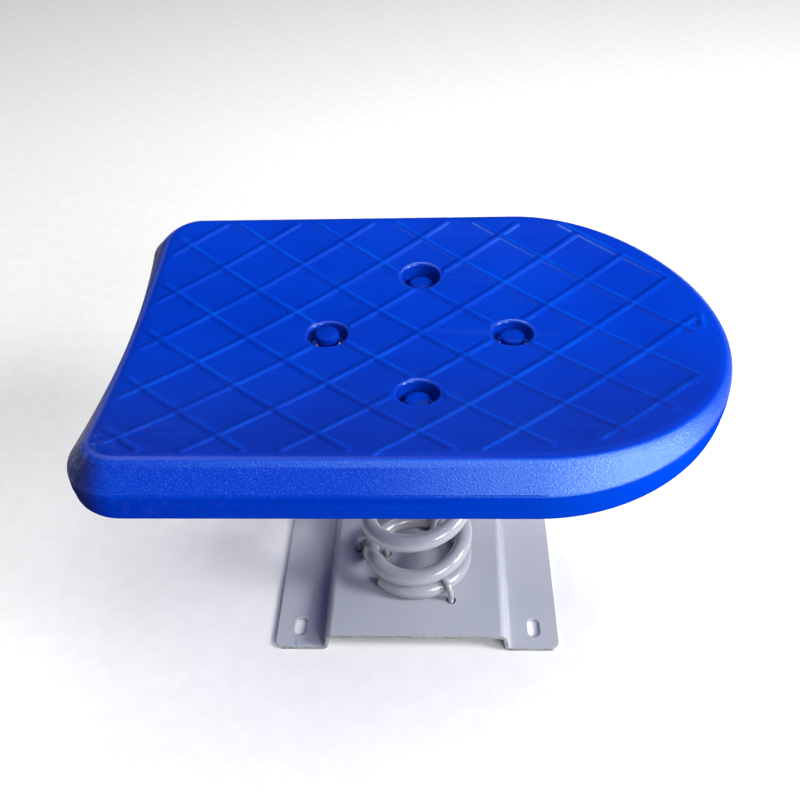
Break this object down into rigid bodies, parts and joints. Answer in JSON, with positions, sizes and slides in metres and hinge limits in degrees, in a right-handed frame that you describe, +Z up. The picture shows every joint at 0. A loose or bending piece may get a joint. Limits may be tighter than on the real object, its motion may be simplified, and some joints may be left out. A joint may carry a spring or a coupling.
{
  "type": "spring bounce board",
  "caption": "Dished plastic bounce board with a round nose on one heavy coil spring, clamped to a steel base plate that bolts to the ground.",
  "frame": {"origin": "on the ground, under the middle of the board's length and width", "axes": "+Z up, +X towards the round nose of the deck, +Y across the board"},
  "size_m": [0.6659, 0.488, 0.431],
  "materials": {
    "deck_plastic": "blue moulded polyethylene, fine orange-peel grain",
    "cap_plastic": "smooth blue moulded caps",
    "painted_steel": "light grey satin powder coat",
    "clamp_steel": "light grey coat over zinc-plated rod",
    "fastener_steel": "zinc plated"
  },
  "bodies": {
    "base": {"base_plate": "painted_steel", "lower_clamp_1_u_bolt": "clamp_steel", "lower_clamp_1_inner_washer": "clamp_steel", "lower_clamp_1_inner_nut": "clamp_steel", "lower_clamp_1_outer_washer": "clamp_steel", "lower_clamp_1_outer_nut": "clamp_steel", "lower_clamp_2_u_bolt": "clamp_steel", "lower_clamp_2_inner_washer": "clamp_steel", "lower_clamp_2_inner_nut": "clamp_steel", "lower_clamp_2_outer_washer": "clamp_steel", "lower_clamp_2_outer_nut": "clamp_steel", "lower_clamp_3_u_bolt": "clamp_steel", "lower_clamp_3_inner_washer": "clamp_steel", "lower_clamp_3_inner_nut": "clamp_steel", "lower_clamp_3_outer_washer": "clamp_steel", "lower_clamp_3_outer_nut": "clamp_steel"},
    "spring_lower": {"spring_lower_coils": "painted_steel"},
    "spring_middle": {"spring_middle_coils": "painted_steel"},
    "deck": {"spring_upper_coils": "painted_steel", "top_plate": "painted_steel", "upper_clamp_1_u_bolt": "clamp_steel", "upper_clamp_1_inner_washer": "clamp_steel", "upper_clamp_1_inner_nut": "clamp_steel", "upper_clamp_1_outer_washer": "clamp_steel", "upper_clamp_1_outer_nut": "clamp_steel", "upper_clamp_2_u_bolt": "clamp_steel", "upper_clamp_2_inner_washer": "clamp_steel", "upper_clamp_2_inner_nut": "clamp_steel", "upper_clamp_2_outer_washer": "clamp_steel", "upper_clamp_2_outer_nut": "clamp_steel", "upper_clamp_3_u_bolt": "clamp_steel", "upper_clamp_3_inner_washer": "clamp_steel", "upper_clamp_3_inner_nut": "clamp_steel", "upper_clamp_3_outer_washer": "clamp_steel", "upper_clamp_3_outer_nut": "clamp_steel", "deck_shell": "deck_plastic", "deck_washer_left": "fastener_steel", "deck_bolt_left": "fastener_steel", "deck_nut_left": "fastener_steel", "deck_washer_right": "fastener_steel", "deck_bolt_right": "fastener_steel", "deck_nut_right": "fastener_steel", "deck_washer_front": "fastener_steel", "deck_bolt_front": "fastener_steel", "deck_nut_front": "fastener_steel", "deck_washer_back": "fastener_steel", "deck_bolt_back": "fastener_steel", "deck_nut_back": "fastener_steel", "bolt_cap_left": "cap_plastic", "bolt_cap_right": "cap_plastic", "bolt_cap_front": "cap_plastic", "bolt_cap_back": "cap_plastic"}
  },
  "joints": [
    {"name": "rock_fore_aft", "type": "hinge", "parent": "base", "child": "spring_lower", "pos_m": [-0.008, 0.005, 0.112], "axis": [0, 1, 0], "range_deg": [-10, 10], "stiffness_Nm_per_rad": 900, "deforming": ["spring_lower_coils"]},
    {"name": "rock_sideways", "type": "hinge", "parent": "spring_lower", "child": "spring_middle", "pos_m": [-0.008, 0.005, 0.198], "axis": [1, 0, 0], "range_deg": [-10, 10], "stiffness_Nm_per_rad": 900, "deforming": ["spring_middle_coils"]},
    {"name": "bounce", "type": "slide", "parent": "spring_middle", "child": "deck", "axis": [0, 0, 1], "range_m": [-0.04, 0.005], "stiffness_N_per_m": 160000, "deforming": ["spring_upper_coils"]}
  ]
}
